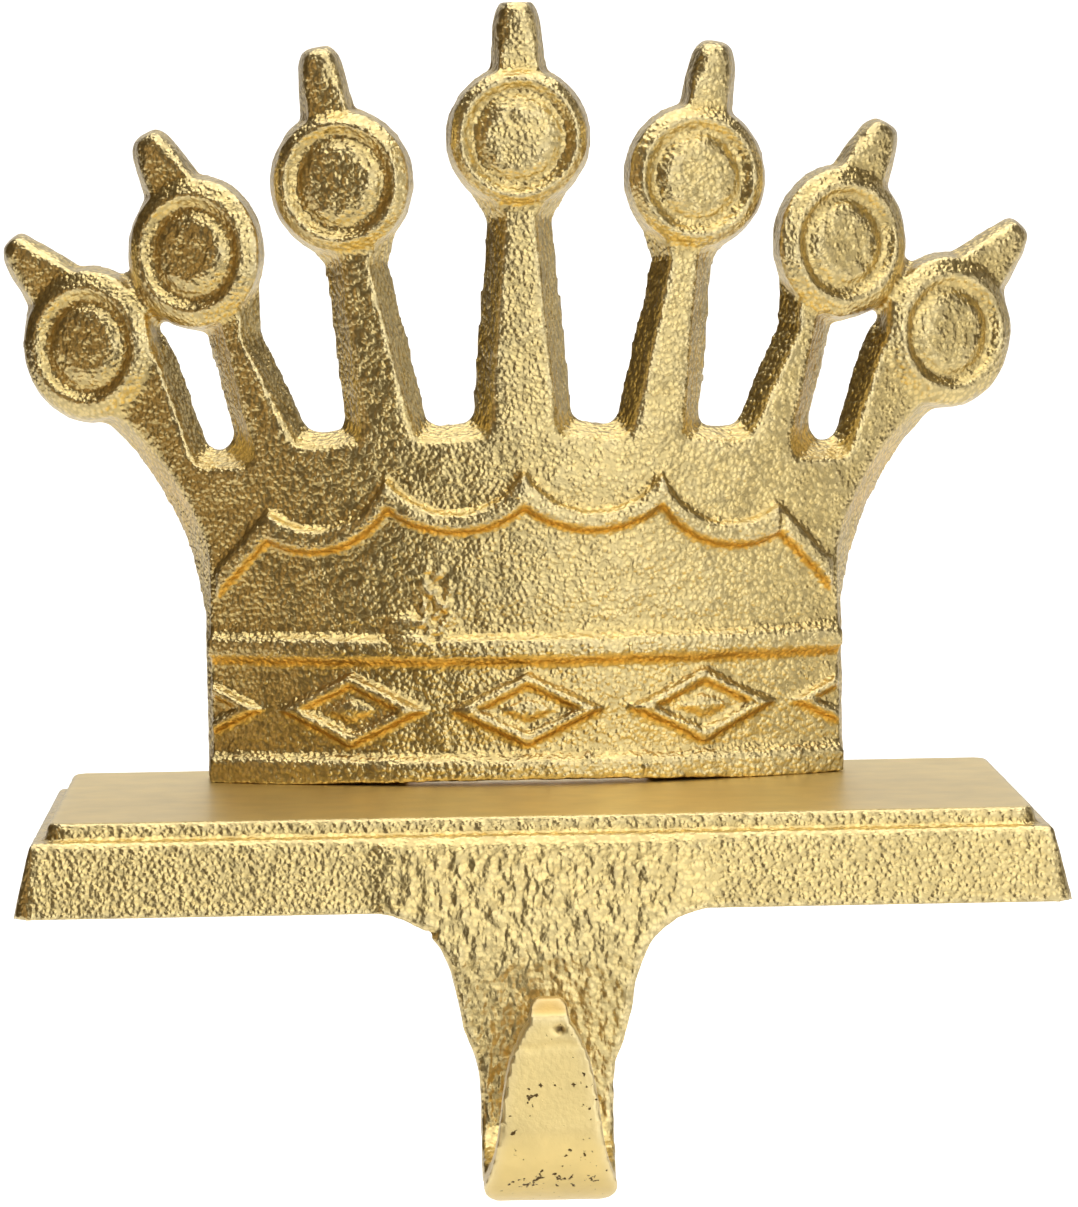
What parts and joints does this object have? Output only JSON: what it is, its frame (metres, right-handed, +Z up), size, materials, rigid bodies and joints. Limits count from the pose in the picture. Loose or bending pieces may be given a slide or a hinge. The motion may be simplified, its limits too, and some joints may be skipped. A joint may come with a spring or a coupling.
{
  "type": "mantel stocking holder",
  "caption": "Heavy mantel stocking holder in gold-painted cast iron: a stepped plate with a J hook at its front edge, and an upright curved crown with disc-topped points.",
  "frame": {"origin": "middle of the plate's underside, which rests on the mantel shelf", "axes": "+Z up through the crown, -Y to the front where the hook hangs, +X to the right as seen from the front"},
  "size_m": [0.1327, 0.0879, 0.1427],
  "materials": {
    "gold_iron": "gold metallic enamel over sand-cast iron, grainy and half gloss",
    "zinc_steel": "bright zinc plate"
  },
  "bodies": {
    "root": {"base_with_hook": "gold_iron", "crown": "gold_iron", "crown_screws": "zinc_steel"}
  },
  "joints": []
}
